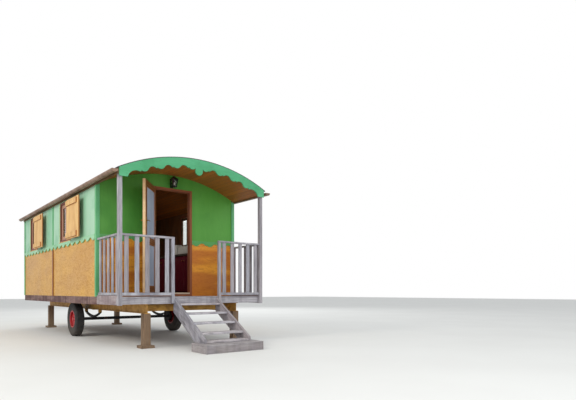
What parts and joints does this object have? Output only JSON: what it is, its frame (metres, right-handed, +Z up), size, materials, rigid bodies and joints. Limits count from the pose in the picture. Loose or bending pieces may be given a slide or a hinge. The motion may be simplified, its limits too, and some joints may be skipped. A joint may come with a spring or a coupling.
{
  "type": "vardo wagon",
  "caption": "Living wagon with an arched roof, scalloped eaves boards, a railed porch with open steps, shuttered windows, a hinged door and a single axle.",
  "frame": {"origin": "middle of the wagon's footprint, on the ground", "axes": "+X to the right as seen from the porch, +Y from the porch to the towing eye, +Z up"},
  "size_m": [3.052, 9.0414, 3.2378],
  "materials": {
    "green_paint": "satin",
    "varnished_panel": "satin",
    "grey_timber": "matte",
    "ceiling_pine": "satin",
    "roof_felt": "matte",
    "roof_board": "matte",
    "eave_paint": "satin",
    "gutter_brown": "satin",
    "red_brown": "satin",
    "door_paint": "satin",
    "pine": "satin",
    "glazing": "gloss",
    "black_iron": "satin",
    "chassis_paint": "satin",
    "rim_red": "gloss",
    "tyre": "matte",
    "cupboard": "satin",
    "worktop": "satin",
    "handle_brass": "satin"
  },
  "bodies": {
    "wagon": {"roof_shell": "roof_board", "roof_covering": "roof_felt", "ceiling_boards": "ceiling_pine", "eave_boards": "eave_paint", "fascia_front": "green_paint", "fascia_rear": "green_paint", "wall_left_lower": "varnished_panel", "wall_right_lower": "varnished_panel", "wall_front_lower": "varnished_panel", "wall_rear_lower": "varnished_panel", "wall_left_upper": "green_paint", "wall_right_upper": "green_paint", "wall_front_upper": "green_paint", "wall_rear_upper": "green_paint", "corner_boards": "green_paint", "lower_battens": "red_brown", "fringe_boards": "green_paint", "floor": "roof_board", "floor_bearers": "grey_timber", "skirt_boards": "grey_timber", "porch_deck": "grey_timber", "porch_joists": "grey_timber", "porch_rims": "grey_timber", "porch_posts": "grey_timber", "front_railings": "grey_timber", "side_railings": "grey_timber", "door_frame": "red_brown", "window_frames": "red_brown", "window_glass": "glazing", "hinge_pins": "black_iron", "gutters": "gutter_brown", "step_stringers": "grey_timber", "step_treads": "grey_timber", "step_platform": "grey_timber", "chassis_rails": "chassis_paint", "cross_members": "chassis_paint", "props": "grey_timber", "drawbar": "chassis_paint", "towing_eye": "chassis_paint", "axle": "chassis_paint", "leaf_springs": "black_iron", "spring_hangers": "chassis_paint", "lamp": "black_iron", "kitchen_cupboard": "cupboard", "kitchen_worktop": "worktop"},
    "door": {"door_leaf": "door_paint", "door_hardware": "handle_brass"},
    "wheel_left": {"wheel_rim_left": "rim_red", "tyre_left": "tyre"},
    "wheel_right": {"wheel_rim_right": "rim_red", "tyre_right": "tyre"},
    "shutter_left_front": {"shutter_left_front": "pine", "straps_left_front": "black_iron"},
    "shutter_left_rear": {"shutter_left_rear": "pine", "straps_left_rear": "black_iron"},
    "shutter_right_front": {"shutter_right_front": "pine", "straps_right_front": "black_iron"},
    "shutter_right_rear": {"shutter_right_rear": "pine", "straps_right_rear": "black_iron"}
  },
  "joints": [
    {"name": "wheel_left_spin", "type": "hinge", "parent": "wagon", "child": "wheel_left", "pos_m": [-1.115, -0.0813, 0.36], "axis": [1, 0, 0], "continuous": true},
    {"name": "wheel_right_spin", "type": "hinge", "parent": "wagon", "child": "wheel_right", "pos_m": [1.115, -0.0813, 0.36], "axis": [1, 0, 0], "continuous": true},
    {"name": "door_swing", "type": "hinge", "parent": "wagon", "child": "door", "pos_m": [-0.38, -2.3003, 1.9], "axis": [0, 0, 1], "range_deg": [-35, 127.5]},
    {"name": "shutter_left_front_swing", "type": "hinge", "parent": "wagon", "child": "shutter_left_front", "pos_m": [-1.463, -0.7833, 2.33], "axis": [0, 0, -1], "range_deg": [0, 180]},
    {"name": "shutter_left_rear_swing", "type": "hinge", "parent": "wagon", "child": "shutter_left_rear", "pos_m": [-1.463, 1.9367, 2.33], "axis": [0, 0, -1], "range_deg": [0, 180]},
    {"name": "shutter_right_front_swing", "type": "hinge", "parent": "wagon", "child": "shutter_right_front", "pos_m": [1.463, -0.7833, 2.33], "axis": [0, 0, 1], "range_deg": [0, 180]},
    {"name": "shutter_right_rear_swing", "type": "hinge", "parent": "wagon", "child": "shutter_right_rear", "pos_m": [1.463, 1.9367, 2.33], "axis": [0, 0, 1], "range_deg": [0, 180]}
  ]
}
